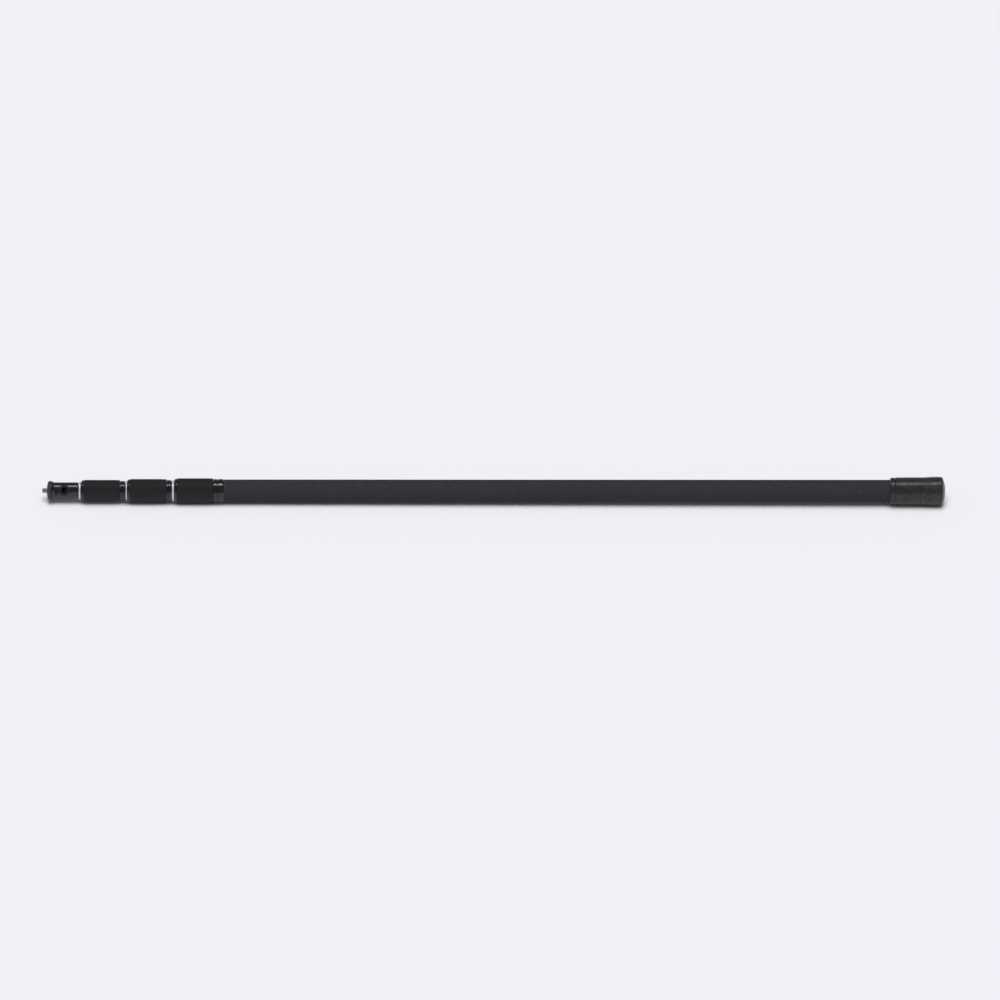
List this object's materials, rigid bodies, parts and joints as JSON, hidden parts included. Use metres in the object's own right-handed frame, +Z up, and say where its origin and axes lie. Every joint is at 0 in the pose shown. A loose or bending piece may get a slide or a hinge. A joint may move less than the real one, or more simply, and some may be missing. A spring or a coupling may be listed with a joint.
{
  "type": "telescopic extension pole",
  "caption": "Telescopic pole with rubber-gripped twist locks, a threaded stud on a flanged head with a side cable exit, a long matte grip section and a rubber end cap.",
  "frame": {"origin": "middle of the collapsed length, under the pole's axis, on the surface that the pole lies on", "axes": "+X along the pole from the threaded stud to the rubber end cap, +Z up"},
  "size_m": [1.08, 0.0342, 0.0341],
  "materials": {
    "outer_tube": "matte charcoal coat, very fine grain",
    "tube": "black anodised drawn tube",
    "cap_rubber": "moulded rubber, soft sheen",
    "inner_plastic": "moulded nylon, black",
    "steel": "bright zinc-plated steel",
    "black_steel": "black oxide steel",
    "gloss_black": "gloss black anodised, turned",
    "satin_black": "satin black anodised, turned",
    "silver": "polished bare aluminium",
    "grip_rubber": "matte moulded rubber",
    "felt": "dense felt",
    "nylon": "natural white acetal"
  },
  "bodies": {
    "base_section": {"base_tube": "outer_tube", "lock_body_1": "gloss_black", "end_plug": "inner_plastic", "buffer_pad": "cap_rubber", "cap_washer": "steel", "end_cap": "cap_rubber"},
    "guide_2": {"guide_ring_2": "nylon"},
    "section_2": {"tube_2": "tube", "tail_plug_2": "inner_plastic", "lock_body_2": "gloss_black"},
    "guide_3": {"guide_ring_3": "nylon"},
    "section_3": {"tube_3": "tube", "tail_plug_3": "inner_plastic", "lock_body_3": "gloss_black"},
    "guide_4": {"guide_ring_4": "nylon"},
    "section_4": {"tube_4": "tube", "tail_plug_4": "inner_plastic", "head_body": "gloss_black", "head_flange": "satin_black", "tool_stud": "steel", "stud_jam_nut": "steel", "cable_grommet": "grip_rubber", "flange_screw_1": "black_steel", "flange_screw_2": "black_steel", "flange_screw_3": "black_steel"},
    "lock_travel_1": {"collet_1": "nylon"},
    "nut_1": {"nut_shell_1": "gloss_black", "nut_grip_1": "grip_rubber", "front_ring_1": "silver", "wiper_ring_1": "felt"},
    "lock_travel_2": {"collet_2": "nylon"},
    "nut_2": {"nut_shell_2": "gloss_black", "nut_grip_2": "grip_rubber", "front_ring_2": "silver", "wiper_ring_2": "felt"},
    "lock_travel_3": {"collet_3": "nylon"},
    "nut_3": {"nut_shell_3": "gloss_black", "nut_grip_3": "grip_rubber", "front_ring_3": "silver", "wiper_ring_3": "felt"}
  },
  "joints": [
    {"name": "section_2_slide", "type": "slide", "parent": "base_section", "child": "guide_2", "axis": [-1, 0, 0], "range_m": [0, 0.7927]},
    {"name": "section_2_spin", "type": "hinge", "parent": "guide_2", "child": "section_2", "pos_m": [0, 0, 0.01705], "axis": [-1, 0, 0], "continuous": true},
    {"name": "nut_1_travel", "type": "slide", "parent": "base_section", "child": "lock_travel_1", "axis": [-1, 0, 0], "range_m": [0, 0.000375]},
    {"name": "nut_1_turn", "type": "hinge", "parent": "lock_travel_1", "child": "nut_1", "pos_m": [0, 0, 0.01705], "axis": [-1, 0, 0], "range_deg": [0, 90]},
    {"name": "section_3_slide", "type": "slide", "parent": "section_2", "child": "guide_3", "axis": [-1, 0, 0], "range_m": [0, 0.8573]},
    {"name": "section_3_spin", "type": "hinge", "parent": "guide_3", "child": "section_3", "pos_m": [0, 0, 0.01705], "axis": [-1, 0, 0], "continuous": true},
    {"name": "nut_2_travel", "type": "slide", "parent": "section_2", "child": "lock_travel_2", "axis": [-1, 0, 0], "range_m": [0, 0.000375]},
    {"name": "nut_2_turn", "type": "hinge", "parent": "lock_travel_2", "child": "nut_2", "pos_m": [0, 0, 0.01705], "axis": [-1, 0, 0], "range_deg": [0, 90]},
    {"name": "section_4_slide", "type": "slide", "parent": "section_3", "child": "guide_4", "axis": [-1, 0, 0], "range_m": [0, 0.8809]},
    {"name": "section_4_spin", "type": "hinge", "parent": "guide_4", "child": "section_4", "pos_m": [0, 0, 0.01705], "axis": [-1, 0, 0], "continuous": true},
    {"name": "nut_3_travel", "type": "slide", "parent": "section_3", "child": "lock_travel_3", "axis": [-1, 0, 0], "range_m": [0, 0.000375]},
    {"name": "nut_3_turn", "type": "hinge", "parent": "lock_travel_3", "child": "nut_3", "pos_m": [0, 0, 0.01705], "axis": [-1, 0, 0], "range_deg": [0, 90]}
  ],
  "couplings": [
    {"joint": "nut_1_travel", "follows": "nut_1_turn", "m_per_rad": 0.00023873},
    {"joint": "nut_2_travel", "follows": "nut_2_turn", "m_per_rad": 0.00023873},
    {"joint": "nut_3_travel", "follows": "nut_3_turn", "m_per_rad": 0.00023873}
  ]
}
